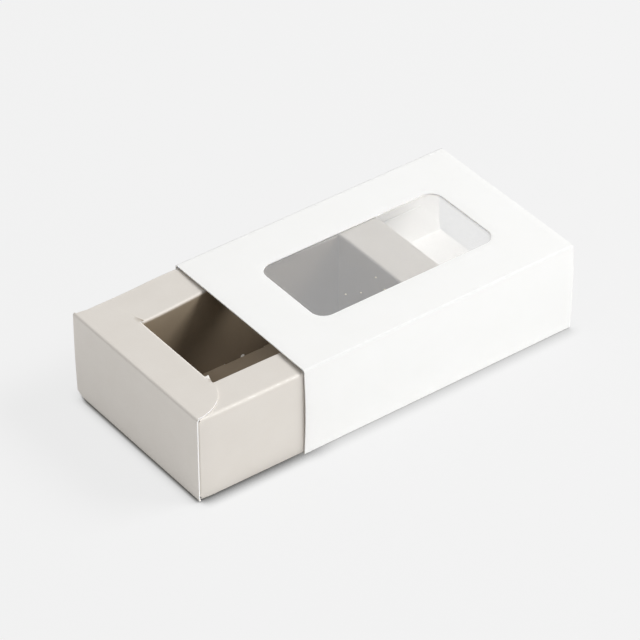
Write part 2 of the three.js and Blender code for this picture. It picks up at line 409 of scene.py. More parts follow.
def raw_edge():
    """A die-cut edge: pressed layers of white fibre."""
    finish = material("raw_cut_edge")
    layers = finish.grain(0.12, 3, (6, 6, 1))
    fibre = finish.grain(0.25, 3)
    colour = finish.mix(layers, paint(246, 244, 240), paint(253, 252, 250))
    return finish.principled({
        "Base Color": colour,
        "Roughness": 0.85 + (fibre - 0.5) * 0.2,
        "Specular IOR Level": 0.2,
        "Subsurface Weight": 0.6,
        "Subsurface Radius": (1, 0.95, 0.85),
        "Subsurface Scale": 0.8 * MM,
        "Normal": finish.bump(fibre, 0.03),
    })


_, right_high = box_mm("sleeve_right_panel")
bottom_low, bottom_high = box_mm("sleeve_bottom_panel")
_, flap_high = box_mm("sleeve_glue_flap")
film_low, film_high = box_mm("window_film")
SLEEVE_BOARD = bottom_high.z - bottom_low.z
SLEEVE_FOLD = right_high.x - bottom_high.x
SLEEVE_HALF = right_high.x
SLEEVE_HEIGHT = right_high.z
SLEEVE_END = right_high.y
FLAP_TAPER = 7
FLAP_CORNER = 1.2
FILM_MARGIN = 7
WINDOW_RADIUS = 4.5
WALL_BULGE = 0.6
TOP_CROWN = 0.08
FOLD_REACH = 0.5
# How far either side of a fold's middle its rub and painted light reach
FOLD_MARK_REACH = 0.8
FOLD_ROWS = 8
PANEL_SPACING = 2.5

# How far the coating is rubbed along the four folds, from the top left one round to the bottom left
# one. The same numbers paint a shade along them that dims their highlights.
SLEEVE_WEAR_AND_SHADE = (0.5, 0.6, 0.25, 0.2)

# The sleeve's flats are numbered from the left wall, which is 0, round to the glue flap
TOP = 1
FLAP = 4

sleeve_strip = Strip(
    start=(-SLEEVE_HALF, 0),
    heading=math.pi / 2,
    flats=[
        SLEEVE_HEIGHT - SLEEVE_FOLD,
        2 * (SLEEVE_HALF - SLEEVE_FOLD),
        SLEEVE_HEIGHT - 2 * SLEEVE_FOLD,
        bottom_high.x - bottom_low.x,
        flap_high.z - SLEEVE_FOLD,
    ],
    radius=SLEEVE_FOLD,
)


def sleeve_bow(point):
    """How far the sprung walls swell outwards, most at half their height, and the top upwards."""
    x_share = point.x / SLEEVE_HALF
    z_share = max(0, point.z / SLEEVE_HEIGHT)
    swell = WALL_BULGE * math.sin(math.pi * min(1, z_share))
    crown = TOP_CROWN * math.cos(x_share * math.pi / 2) * z_share ** 4
    return Vector((swell * max(-1, min(1, x_share)) ** 5, 0, crown))


def sleeve_place(spot):
    section, normal = sleeve_strip.at(spot.x)
    point = Vector((section.x, spot.y, section.y))
    near = sleeve_strip.nearness(spot.x, FOLD_MARK_REACH)
    # How rubbed each fold is, and how much painted shade greys it
    bareness_and_painted_light = max(n * wear_and_painted_light for n, wear_and_painted_light in zip(near, SLEEVE_WEAR_AND_SHADE))
    return point + sleeve_bow(point), Vector((normal.x, 0, normal.y)), bareness_and_painted_light, 0


def spread(low, high, spacing):
    """Evenly spaced values from low to high, both included."""
    count = max(1, round((high - low) / spacing))
    return [low + (high - low) * k / count for k in range(count + 1)]


flap_start = sleeve_strip.begin(FLAP)
sleeve_width = sleeve_strip.end(FLAP)
top_middle = (sleeve_strip.begin(TOP) + sleeve_strip.end(TOP)) / 2
window_low = Vector((top_middle + film_low.x + FILM_MARGIN, film_low.y + FILM_MARGIN))
window_high = Vector((top_middle + film_high.x - FILM_MARGIN, film_high.y - FILM_MARGIN))
sleeve_outline = [
    Vector((0, -SLEEVE_END)),
    Vector((flap_start, -SLEEVE_END)),
    Vector((sleeve_width - FLAP_CORNER, FLAP_TAPER - FLAP_CORNER - SLEEVE_END)),
    Vector((sleeve_width, FLAP_TAPER - SLEEVE_END)),
    Vector((sleeve_width, SLEEVE_END - FLAP_TAPER)),
    Vector((sleeve_width - FLAP_CORNER, SLEEVE_END - FLAP_TAPER + FLAP_CORNER)),
    Vector((flap_start, SLEEVE_END)),
    Vector((0, SLEEVE_END)),
]
sleeve_blank = Blank(
    [sleeve_outline, rounded_rectangle(window_low, window_high, WINDOW_RADIUS)], PANEL_SPACING
)
sleeve_columns = spread(-SLEEVE_END, SLEEVE_END, PANEL_SPACING)
for s, is_fold in sleeve_strip.rows(PANEL_SPACING, FOLD_ROWS, FOLD_REACH):
    if is_fold:
        sleeve_blank.add_line([Vector((s, y)) for y in sleeve_columns])
    elif 0 < s < sleeve_width:
        sleeve_blank.add_grid([s], sleeve_columns[1:-1])

white_face, white_inside, cut_edge = coated_white(), white_back(), raw_edge()
sleeve = sleeve_blank.fold_up(
    "sleeve_blank", sleeve_place, SLEEVE_BOARD, (white_face, white_inside, cut_edge)
)
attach(sleeve, "sleeve")
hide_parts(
    "sleeve_top_panel",
    "sleeve_right_panel",
    "sleeve_bottom_panel",
    "sleeve_left_panel",
    "sleeve_glue_flap",
)


# The bead of glue that holds the flap to the inside of the left wall. It is white carton glue,
# rolled on in one line and pressed flat between the two boards.

GLUE_CRUSH = 0.01


def dried_glue():
    finish = material("dried_carton_glue")
    cloud = finish.grain(1.5, 3)
    colour = finish.mix(cloud, paint(225, 214, 186), paint(240, 233, 214))
    return finish.principled({
        "Base Color": colour,
        "Roughness": 0.35 + cloud * 0.3,
        "Normal": finish.bump(cloud, 0.02),
    })


glue = dried_glue()
seam_low, seam_high = box_mm("sleeve_seam_glue")
seam_radius = (seam_high.z - seam_low.z) / 2
seam_outline = rounded_rectangle(
    Vector((seam_low.y, seam_low.z)), Vector((seam_high.y, seam_high.z)), seam_radius
)


def seam_place(spot):
    point = Vector((seam_high.x, spot.x, spot.y))
    return point + sleeve_bow(point), Vector((1, 0, 0)), 0, 0


seam = Blank([seam_outline], PANEL_SPACING).fold_up(
    "seam_glue", seam_place, seam_high.x - seam_low.x, (glue, glue, glue), crush=GLUE_CRUSH
)
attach(seam, "sleeve")
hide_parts("sleeve_seam_glue")


# The window film and its glue. The film is a thin polyester sheet, a little milky, and a frame of glue
# round the die-cut opening holds it inside the top panel. It lies nearly flat, in slight waves.

glue_low, glue_high = box_mm("window_film_glue")
FILM_RADIUS = 1.5
GLUE_MARGIN = 1.5

# The film's waves: how high they are, how long they are along it, how many run across it for one
# along it in the same length, and at which angles they start, across and along
FILM_WAVE = 0.02
FILM_WAVE_LENGTH = 23
FILM_ACROSS_SHARE = 0.7
FILM_WAVE_STARTS = (1.3, 0.4)

# The film's look: its shine seen square on, how milky it is and how much that varies, how much less
# milky it is to light that falls through it, and how much of its milkiness glows with light from behind
FILM_SHINE = 0.09
FILM_MILK = 0.18
FILM_CLOUD = 0.02
FILM_LIT_SHARE = 0.45
MILK_THROUGH_SHARE = 0.15


def flat_place(top):
    """Lays a sheet under the sleeve's top, its upper face at the height top, with the film's waves."""

    def place(spot):
        point = Vector((spot.x, spot.y, top))
        turn = 2 * math.pi / FILM_WAVE_LENGTH
        across = math.sin(spot.x * turn * FILM_ACROSS_SHARE + FILM_WAVE_STARTS[0])
        along = math.sin(spot.y * turn + FILM_WAVE_STARTS[1])
        lift = Vector((0, 0, FILM_WAVE * across * along))
        return point + sleeve_bow(point) + lift, Vector((0, 0, 1)), 0, 0

    return place


def clear_film():
    """Slightly milky film, glossy on both faces. It greys what lies under it more than it dims the
    light that falls through."""
    finish = material("clear_polyester_film")
    haze = finish.grain(4, 3)
    facing = finish.node("ShaderNodeLayerWeight", {}, {"Blend": 0.5}, "Facing")
    shine = FILM_SHINE + (1 - FILM_SHINE) * facing ** 5
    clear = finish.node("ShaderNodeBsdfTransparent", {}, {"Color": paint(252, 252, 252)})
    front = finish.node("ShaderNodeBsdfDiffuse", {}, {"Color": paint(248, 248, 248)})
    through = finish.node("ShaderNodeBsdfTranslucent", {}, {"Color": paint(248, 248, 248)})
    dull = finish.blend(MILK_THROUGH_SHARE, front, through)
    gloss = finish.node("ShaderNodeBsdfGlossy", {}, {"Roughness": 0.12})
    milk = (FILM_MILK + haze * FILM_CLOUD) * (1 - finish.ray("Is Shadow Ray") * FILM_LIT_SHARE)
    return finish.end(finish.blend(shine, finish.blend(milk, clear, dull), gloss))


def ring(centre, radius, sides):
    """The corners of a round outline with a number of sides."""
    return arc(centre, (radius, radius), 0, 4 - 4 / sides, sides - 1)


film_corners = [Vector(c[:2]) for c in (film_low, film_high)]
film_finish = clear_film()
film_blank = Blank([rounded_rectangle(*film_corners, FILM_RADIUS)], PANEL_SPACING)
film_blank.add_grid(
    spread(film_low.x, film_high.x, PANEL_SPACING)[1:-1],
    spread(film_low.y, film_high.y, PANEL_SPACING)[1:-1],
)
film = film_blank.fold_up(
    "window_film_sheet",
    flat_place(film_high.z),
    film_high.z - film_low.z,
    (film_finish, film_finish, film_finish),
    crush=0,
)
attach(film, "sleeve")
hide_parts("window_film")

opening = Vector((FILM_MARGIN - GLUE_MARGIN, FILM_MARGIN - GLUE_MARGIN))
film_glue = Blank(
    [
        rounded_rectangle(Vector(glue_low[:2]), Vector(glue_high[:2]), FILM_RADIUS),
        rounded_rectangle(
            film_corners[0] + opening, film_corners[1] - opening, WINDOW_RADIUS + GLUE_MARGIN
        ),
    ],
    PANEL_SPACING,
).fold_up(
    "film_glue_frame", flat_place(glue_high.z), glue_high.z - glue_low.z, (glue, glue, glue), crush=0
)
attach(film_glue, "sleeve")
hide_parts("window_film_glue")

# Four small pale specks lying on the film, in the glue's finish
SPECKS = ((9.4, -17.8), (11.4, -13.9), (8.2, -6.1), (14.2, -7.6))
SPECK_RADIUS = 0.22
SPECK_THICKNESS = 0.02
SPECK_SIDES = 10
for number, middle in enumerate(SPECKS, 1):
    speck = Blank([ring(middle, SPECK_RADIUS, SPECK_SIDES)], PANEL_SPACING).fold_up(
        f"film_pale_speck_{number}",
        flat_place(film_high.z + SPECK_THICKNESS),
        SPECK_THICKNESS,
        (glue, glue, glue),
        crush=0,
    )
    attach(speck, "sleeve")


# The tray. It is one die-cut blank of pearl-coated board. Each side folds up, over and down again
# into a hollow wall, tongues on the inner walls plug into the floor, and the ends' ears lie on the
# rims of the long sides.

end_low, end_high = box_mm("tray_front_wall")
_, rear_high = box_mm("tray_rear_wall")
floor_low, floor_high = box_mm("tray_floor")
left_wall_low, left_wall_high = box_mm("tray_left_wall")
left_inner_low, left_inner_high = box_mm("tray_left_inner_wall")
right_inner_low, _ = box_mm("tray_right_inner_wall")
front_inner_low, front_inner_high = box_mm("tray_front_inner_wall")
rear_inner_low, _ = box_mm("tray_rear_inner_wall")
_, front_rim_high = box_mm("tray_front_rim")
tab_low, tab_high = box_mm("tray_left_front_tab")

TRAY_BOARD = floor_high.z - floor_low.z
TRAY_FOLD = floor_low.y - end_low.y
TRAY_ORIGIN = Vector(((end_low.x + end_high.x) / 2, end_low.y, floor_low.z))
TRAY_HALF = (end_high.x - end_low.x) / 2
TRAY_LENGTH = rear_high.y - end_low.y
TRAY_HEIGHT = end_high.z - end_low.z
SIDE_HEIGHT = left_wall_high.z - end_low.z
SIDE_START = left_wall_low.y - end_low.y
SIDE_END = left_wall_high.y - end_low.y
INNER_START = left_inner_low.y - end_low.y
INNER_END = left_inner_high.y - end_low.y
FRONT_RIM = front_inner_high.y - end_low.y
REAR_RIM = rear_high.y - rear_inner_low.y
LEFT_RIM = left_inner_high.x - end_low.x
RIGHT_RIM = end_high.x - right_inner_low.x
SHORT_LEFT = front_inner_low.x - TRAY_ORIGIN.x
SHORT_RIGHT = front_inner_high.x - TRAY_ORIGIN.x
CORNER_SLOT = 2.7
EAR_REACH = front_rim_high.x - TRAY_ORIGIN.x
EAR_SLIT = 0.08
EAR_NIB = 0.9
EAR_STEPS = 14
FOOT_GAP = 0.05
TONGUE_TIP = 0.1
TONGUE_GAP = 0.15
SHORT_TONGUE = 10
LONG_TONGUE = 14
TAB_FOOT = tab_low.z - end_low.z
TAB_HEAD = tab_high.z - end_low.z
TAB_REACH = tab_high.x - left_wall_low.x - TRAY_FOLD
TAB_CORNER = 3
TAB_ROOT = 0.95
TAB_TAPER = 2
TAB_SHOULDER = 1.2
FOOT_NIP = 4
NIP_HEIGHT = 0.9
TRAY_SPACING = 2.4
ROW_GAP = 0.02

# The flats of a hollow wall are numbered from the floor's edge, which is 0
WALL = 1
RIM = 2
INNER = 3

# How a made-up tray bows. Its long outer walls swell, the left one most at its middle and the right
# one along most of its length. Its long inner walls lean out and buckle, and the rims between the
# ears rise a little, the left one also at its outer edge.
OUTER_SWELL = 0.38
SWELL_SPAN = {"left": 1, "right": 3}
LEFT_LEAN = 1.6
RIGHT_LEAN = 0.55
RIM_RISE = 0.3
LEFT_RISE = 0.45
LEFT_RISE_SPAN = 3
BUCKLE = 0.35
BUCKLE_LENGTH = 29
BUCKLE_HEIGHT = 44
BUCKLE_START = 0.6
TURN_IN = 0.25
TURN_LENGTH = 1.3

# The left wall splays out. Its drawn-out end splays by no more than the shut sleeve has room for: an
# amount all the way up, one more towards its top and one more halfway up. That end of the tray also
# sits a little askew in the sleeve and droops.
LEFT_SPLAY = 0.62
END_ASKEW = 0.3
ASKEW_LENGTH = 36
END_FOOT_SPLAY = 0.12
END_TOP_SPLAY = 0.52
END_MIDDLE_SPLAY = 0.3
DROOP = 0.04

# How far into the pocket the painted shade takes to turn the coat to the painted brown of the walls,
# and past what share of the fold that begins
INNER_FADE = 0.8
FADE_START_SHARE = 0.4

# How far the coating is split along each strip's three folds: foot, outer top and inner top. The
# same numbers paint a highlight along them, most on the folds that catch the light.
WEAR_AND_HIGHLIGHT = {
    "front": (0.25, 0.04, 0.35),
    "rear": (0.25, 0.04, 0.35),
    "left": (0.25, 0.7, 0.55),
    "right": (0.25, 0.75, 0.35),
}


def wall_strip(height, rim):
    """A hollow wall in cross-section, from the floor's edge: up, over and down to the floor."""
    foot = TRAY_BOARD + FOOT_GAP
    flats = [0, height - 2 * TRAY_FOLD, rim - 2 * TRAY_FOLD, height - TRAY_FOLD - foot]
    return Strip((TRAY_FOLD, 0), math.pi, flats, TRAY_FOLD)


strips = {
    "front": wall_strip(TRAY_HEIGHT, FRONT_RIM),
    "rear": wall_strip(TRAY_HEIGHT, REAR_RIM),
    "left": wall_strip(SIDE_HEIGHT, LEFT_RIM),
    "right": wall_strip(SIDE_HEIGHT, RIGHT_RIM),
}
rims = {"front": FRONT_RIM, "rear": REAR_RIM, "left": LEFT_RIM, "right": RIGHT_RIM}
side_floor = TRAY_HALF - TRAY_FOLD
end_floor = TRAY_LENGTH - TRAY_FOLD
short_middle = (SHORT_LEFT + SHORT_RIGHT) / 2
long_middle = (SIDE_START + SIDE_END) / 2

# Where the die left a torn nick of white fibre: the strip, along it, out along it, and how far it runs
NICK_PAST_POCKET = 0.6
NICK_PAST_FOLD = 0.4
NICK_OFF_MIDDLE = 0.7
FRONT_NICK_REACH = 1.5
LEFT_NICK_REACH = 1.1
front_fold = strips["front"].end(RIM) + TRAY_FOLD
TORN = (
    ("front", SHORT_RIGHT + NICK_PAST_POCKET, front_fold + NICK_PAST_FOLD, FRONT_NICK_REACH),
    ("left", long_middle - NICK_OFF_MIDDLE, strips["left"].end(INNER), LEFT_NICK_REACH),
)

# How bare a nick's middle is, how bare board can be at most, and the rings of points round a nick
NICK_BARE = 2
MOST_BARE = 1.3
NICK_RING_SHARES = (0.35, 0.7, 1.0)
NICK_SIDES = 8


def tongue(middle, length, strip):
    """The foot of an inner wall with its tongue, as points of distance along and distance out."""
    foot = strip.end(INNER)
    tip = foot + TRAY_BOARD + FOOT_GAP - TONGUE_TIP
    return [
        (middle - length / 2, foot),
        (middle - length / 2 + FOOT_GAP, tip),
        (middle + length / 2 - FOOT_GAP, tip),
        (middle + length / 2, foot),
    ]


def ear(centre, reach, rim, direction, strip):
    """The rounded ear of an end rim, from the wall's fold to the straight edge by the pocket."""
    first = math.asin(TRAY_FOLD / rim) * 2 / math.pi
    foot = strip.begin(RIM) - TRAY_FOLD
    points = arc((centre, foot), (direction * reach, rim), first, 1, EAR_STEPS)
    return [(p.x, p.y) for p in points]


def end_outline(strip, rim, nipped):
    """An end wall's strip, from its left foot, which may be nipped off, round to its right foot."""
    rim_start, rim_end, foot = strip.begin(RIM), strip.end(RIM), strip.end(INNER)
    nib = rim_end + TRAY_FOLD + EAR_NIB
    left_ear = SHORT_LEFT - CORNER_SLOT
    right_ear = SHORT_RIGHT + CORNER_SLOT
    left = ear(left_ear, EAR_REACH + left_ear, rim, -1, strip)
    right = ear(right_ear, EAR_REACH - right_ear, rim, 1, strip)
    nip_foot = (FOOT_NIP - TRAY_HALF, TRAY_FOLD / 2)
    nip_side = (-TRAY_HALF, strip.begin(WALL) + NIP_HEIGHT)
    return [
        *((nip_foot, nip_side) if nipped else ((-TRAY_HALF, 0),)),
        (-TRAY_HALF, rim_start),
        *left,
        (SHORT_LEFT - EAR_SLIT, nib),
        (SHORT_LEFT - EAR_SLIT, rim_end),
        (SHORT_LEFT, rim_end),
        (SHORT_LEFT, foot),
        *tongue(short_middle, SHORT_TONGUE, strip),
        (SHORT_RIGHT, foot),
        (SHORT_RIGHT, rim_end),
        (SHORT_RIGHT + EAR_SLIT, rim_end),
        (SHORT_RIGHT + EAR_SLIT, nib),
        *right[::-1],
        (TRAY_HALF, rim_start),
        (TRAY_HALF, 0),
    ]


def tab(edge, direction, strip):
    """A corner tab on a long wall, from its foot to its head."""
    wall_start, wall_end = strip.begin(WALL), strip.end(WALL)
    foot = wall_start + TAB_FOOT - TRAY_FOLD
    head = wall_start + TAB_HEAD - TRAY_FOLD
    end = edge + direction * (strip.quarter + TAB_REACH)
    return [
        (edge, foot - TAB_ROOT),
        (edge + direction * TAB_TAPER, foot),
        (end - direction * TAB_CORNER, foot),
        (end, foot + TAB_CORNER),
        (end, head - TAB_CORNER),
        (end - direction * TAB_CORNER, head),
        (edge + direction * TAB_TAPER, head),
        (edge + direction * TAB_SHOULDER, wall_end),
        (edge, wall_end),
    ]


def side_outline(strip):
    """A long wall's strip with its two corner tabs, from its front foot round to its rear foot."""
    rim_end, foot = strip.end(RIM), strip.end(INNER)
    return [
        (SIDE_START, 0),
        *tab(SIDE_START, -1, strip),
        (SIDE_START, rim_end),
        (INNER_START, rim_end),
        (INNER_START, foot),
        *tongue(long_middle, LONG_TONGUE, strip),
        (INNER_END, foot),
        (INNER_END, rim_end),
        (SIDE_END, rim_end),
        *tab(SIDE_END, 1, strip)[::-1],
        (SIDE_END, 0),
    ]


def on_blank(side, t, s):
    """A point of a strip, at t along the wall and s out from the floor's edge, on the flat blank."""
    return {
        "front": Vector((t, TRAY_FOLD - s)),
        "rear": Vector((t, end_floor + s)),
        "left": Vector((-side_floor - s, t)),
        "right": Vector((side_floor + s, t)),
    }[side]


def strip_of(spot):
    """The strip that a point of the flat blank is on, with its t and s, or None on the floor."""
    if abs(spot.x) < TRAY_HALF + FOOT_GAP:
        if spot.y < TRAY_FOLD:
            return "front", spot.x, TRAY_FOLD - spot.y
        if spot.y > end_floor:
            return "rear", spot.x, spot.y - end_floor
    if spot.x < -side_floor:
        return "left", spot.y, -side_floor - spot.x
    if spot.x > side_floor:
        return "right", spot.y, spot.x - side_floor
    return None


def hump(share):
    """A smooth rise and fall as a share goes from 0 to 1."""
    return math.sin(math.pi * min(1, max(0, share))) ** 2


def tray_bow(point, side, depth):
    """How far a point of the tray is sprung out of place. depth is how far in it lies behind its
    wall's outer face."""
    between = hump((point.y - FRONT_RIM) / (TRAY_LENGTH - FRONT_RIM - REAR_RIM))
    height = min(1, max(0, point.z / SIDE_HEIGHT))
    halfway_up = math.sin(math.pi * height)
    drawn_out = max(0, 1 - point.y / ASKEW_LENGTH)
    left_share = max(0, -point.x / TRAY_HALF) ** 3
    splay = LEFT_SPLAY * height ** 1.5
    end_splay = END_FOOT_SPLAY + END_TOP_SPLAY * height + END_MIDDLE_SPLAY * halfway_up
    splay += (end_splay - splay - END_ASKEW) * drawn_out
    shift = Vector((-END_ASKEW * drawn_out - splay * left_share, 0, -DROOP * drawn_out))
    if side in ("left", "right"):
        outward = -1 if side == "left" else 1
        lean = LEFT_LEAN if side == "left" else RIGHT_LEAN
        across = min(1, max(0, depth / rims[side]))
        swell = OUTER_SWELL * halfway_up * min(1, SWELL_SPAN[side] * hump(point.y / TRAY_LENGTH))
        shift.x += outward * (swell * (1 - across) + lean * between * height * across)
        shift.z += RIM_RISE * between * height * across
        if side == "left":
            shift.z += LEFT_RISE * min(1, LEFT_RISE_SPAN * between) * height ** 4 * (1 - across)
        waves = point.y / BUCKLE_LENGTH + point.z / BUCKLE_HEIGHT
        wave = math.sin(2 * math.pi * waves + BUCKLE_START)
        shift.x += outward * BUCKLE * wave * between * halfway_up * across
        from_end = max(0, min(point.y - SIDE_START, SIDE_END - point.y))
        shift.x -= outward * TURN_IN * math.exp(-from_end / TURN_LENGTH) * (1 - across)
    return shift


def side_tab(t, section, normal):
    """Folds a corner tab inwards behind the end wall. Gives its place and normal for a left wall."""
    beyond = max(SIDE_START - t, t - SIDE_END, 0)
    toward = -1 if t < SIDE_START else 1
    edge = min(max(t, SIDE_START), SIDE_END)
    angle = min(beyond / TRAY_FOLD, math.pi / 2)
    straight = max(0, beyond - TRAY_FOLD * math.pi / 2)
    depth = section.x + TRAY_FOLD * (1 - math.cos(angle)) + straight
    y = edge + toward * TRAY_FOLD * math.sin(angle)
    return depth, y, Vector((normal.x * math.cos(angle), toward * math.sin(angle), normal.y))


def tray_place(spot):
    found = strip_of(spot)
    if found is None:
        point = Vector((spot.x, spot.y, 0))
        return TRAY_ORIGIN + point + tray_bow(point, None, 0), Vector((0, 0, -1)), 0, 0
    side, t, s = found
    strip = strips[side]
    # How split each fold is, with the painted highlight that the same numbers give it
    bareness_and_painted_light = max(n * wear_and_painted_light for n, wear_and_painted_light in zip(strip.nearness(s, FOLD_MARK_REACH), WEAR_AND_HIGHLIGHT[side]))
    torn = [
        NICK_BARE * (1 - math.hypot(t - along, s - out) / reach)
        for torn_side, along, out, reach in TORN
        if torn_side == side
    ]
    section, normal = strip.at(s)
    if side in ("front", "rear"):
        toward = 1 if side == "front" else -1
        if s > strip.end(RIM) and not SHORT_LEFT - EAR_SLIT / 2 < t < SHORT_RIGHT + EAR_SLIT / 2:
            section, normal = strip.on_flat(RIM, s)
            bareness_and_painted_light = 0
        y = section.x if side == "front" else TRAY_LENGTH - section.x
        point = Vector((t, y, section.y))
        facing = Vector((0, toward * normal.x, normal.y))
        depth = section.x
    else:
        depth, y, facing = side_tab(t, section, normal)
        outward = -1 if side == "left" else 1
        point = Vector((outward * (TRAY_HALF - depth), y, section.y))
        facing.x *= -outward
    bareness_and_painted_light = min(MOST_BARE, max(bareness_and_painted_light, *torn, 0))
    # How far the point lies in the pocket's painted shade: it grows past the rim's inner fold and down
    # the wall to the floor
    inside = max(0, s - strip.end(RIM) - strip.quarter * FADE_START_SHARE)
    shade_depth = min(1, inside / INNER_FADE) + min(1, inside / SIDE_HEIGHT)
    return TRAY_ORIGIN + point + tray_bow(point, side, depth), facing, bareness_and_painted_light, shade_depth


def slot_hole(middle, size):
    half = Vector(size) / 2 + Vector((TONGUE_GAP, TONGUE_GAP))
    low, high = Vector(middle) - half, Vector(middle) + half
    return [low, Vector((high.x, low.y)), high, Vector((low.x, high.y))]


half_board = TRAY_BOARD / 2
tray_outline = [on_blank("front", t, s) for t, s in end_outline(strips["front"], FRONT_RIM, True)]
tray_outline += [on_blank("right", t, s) for t, s in side_outline(strips["right"])]
rear_outline = end_outline(strips["rear"], REAR_RIM, False)
tray_outline += [on_blank("rear", t, s) for t, s in rear_outline[::-1]]
tray_outline += [on_blank("left", t, s) for t, s in side_outline(strips["left"])[::-1]]
tray_holes = [
    slot_hole((short_middle, FRONT_RIM - half_board), (SHORT_TONGUE, TRAY_BOARD)),
    slot_hole((short_middle, TRAY_LENGTH - REAR_RIM + half_board), (SHORT_TONGUE, TRAY_BOARD)),
    slot_hole((LEFT_RIM - half_board - TRAY_HALF, long_middle), (TRAY_BOARD, LONG_TONGUE)),
    slot_hole((TRAY_HALF - RIGHT_RIM + half_board, long_middle), (TRAY_BOARD, LONG_TONGUE)),
]
tray_blank = Blank([tray_outline, *tray_holes], TRAY_SPACING)
tray_blank.add_grid(
    spread(-side_floor, side_floor, TRAY_SPACING)[1:-1],
    spread(TRAY_FOLD, end_floor, TRAY_SPACING)[1:-1],
)


def add_rows(side, wall_ends, inner_ends):
    """Rows of points across a strip: lines that no triangle crosses at its folds, and a grid between."""
    strip = strips[side]
    for s, is_fold in strip.rows(TRAY_SPACING, FOLD_ROWS, FOLD_REACH):
        past_rim = s - strip.end(RIM) > (-TINY if is_fold else FOLD_REACH / 2)
        columns = spread(*(inner_ends if past_rim else wall_ends), TRAY_SPACING)
        if is_fold:
            tray_blank.add_line([on_blank(side, t, s) for t in columns])
        else:
            tray_blank.add_spots(on_blank(side, t, s) for t in columns[1:-1])


def add_tab_rows(side, edge, toward):
    """Lines of points up the fold of a corner tab, which end just short of the cut over its head."""
    strip = strips[side]
    for k in range(FOLD_ROWS + 1):
        beyond = strip.quarter * k / FOLD_ROWS
        root = TAB_ROOT * (1 - beyond / TAB_TAPER)
        low = strip.begin(WALL) + TAB_FOOT - root - TRAY_FOLD
        high = strip.end(WALL) - (ROW_GAP if k else 0)
        heights = spread(low, high, TRAY_SPACING)
        tray_blank.add_line([on_blank(side, edge + toward * beyond, z) for z in heights])


for side in ("front", "rear"):
    add_rows(side, (-TRAY_HALF, TRAY_HALF), (SHORT_LEFT, SHORT_RIGHT))
for side in ("left", "right"):
    add_rows(side, (SIDE_START, SIDE_END), (INNER_START, INNER_END))
    add_tab_rows(side, SIDE_START, -1)
    add_tab_rows(side, SIDE_END, 1)
for side, t, s, reach in TORN:
    for share in NICK_RING_SHARES:
        spots = ring((t, s), reach * share, NICK_SIDES)
        tray_blank.add_spots(on_blank(side, x, y) for x, y in spots)


def pearl_board(name, shade_depth):
    """Board with a warm pearl coat, split to white fibre at its folds, where a painted highlight also
    whitens the folds that catch the light. The last argument, with the pocket's number added to it,
    says how far a point lies in the pocket's painted shade: 0 outside the tray, 1 in the pocket under
    its rim and 2 at its floor. The further in, the darker and browner the coat is painted and the
    less metallic shine it keeps."""
    finish = material(name)
    cloud = finish.grain(7, 3)
    flake = finish.grain(0.16, 1)
    glint = flake.between(0.55, 0.8)
    glint_tone = paint(214, 208, 200)
    fibre = finish.grain(0.5, 3, (1, 2, 1))
    ragged = finish.grain(0.6, 4, (1, 3, 1)) - 0.5
    bare_and_painted_light = finish.attribute("bare_and_painted_light")
    bareness_and_painted_light = (bare_and_painted_light + ragged * 1.2).between(0.55, 1.0)
    crushed = bare_and_painted_light.between(0, 0.3)
    shade_depth = finish.attribute("pocket") + shade_depth
    light = finish.mix(cloud, paint(225, 219, 211), paint(230, 225, 218))
    light = finish.mix(glint * 0.3, light, glint_tone)
    # Painted shade: the pocket's walls and floor are painted darker and browner than the coat outside
    painted_pocket_shade = finish.mix(cloud, paint(153, 138, 118), paint(160, 146, 126))
    painted_floor_shade = finish.mix(cloud, paint(106, 91, 73), paint(114, 100, 82))
    colour = finish.mix(shade_depth, light, painted_pocket_shade)
    colour = finish.mix(shade_depth - 1, colour, painted_floor_shade)
    colour = finish.mix(glint * 0.08, colour, glint_tone)
    # White fibre where the coat is split at its folds and torn at its nicks, which along the folds that
    # catch the light is also a painted highlight
    colour = finish.mix(bareness_and_painted_light, colour, paint(244, 241, 236))
    return finish.principled({
        "Base Color": colour,
        "Metallic": 0.5 * (1 - shade_depth.between(0, 1)) * (1 - crushed * 0.9),
        "Roughness": 0.46 + (fibre - 0.5) * 0.1 + crushed * 0.3,
        "Coat Weight": 0.3 - crushed * 0.3,
        "Coat IOR": 1.6,
        "Coat Roughness": 0.3,
        "Normal": finish.bump(fibre + flake * 0.5, 0.004),
    })


pearl = pearl_board("pearl_coated_board", 0)
# The board's inner face, which shows as the pocket's floor, carries more of the painted shade
shaded_pearl_inside = pearl_board("pearl_board_inside_painted_shade", 1.5)
tray = tray_blank.fold_up("tray_blank", tray_place, TRAY_BOARD, (pearl, shaded_pearl_inside, cut_edge))
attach(tray, "tray")
tray_panels = ["tray_floor"]
for side in ("front", "rear", "left", "right"):
    tray_panels += [f"tray_{side}_{panel}" for panel in ("wall", "rim", "inner_wall")]
tray_corners = [(side, end) for side in ("left", "right") for end in ("front", "rear")]
tray_panels += [f"tray_{side}_{end}_tab" for side, end in tray_corners]
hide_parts(*tray_panels)


# The glue at the tray's corners: a bead on each tab behind the end wall, and a dot under each ear. It
# is the same white carton glue as at the sleeve's seam, pressed flat between the boards.

DOT_SIDES = 40

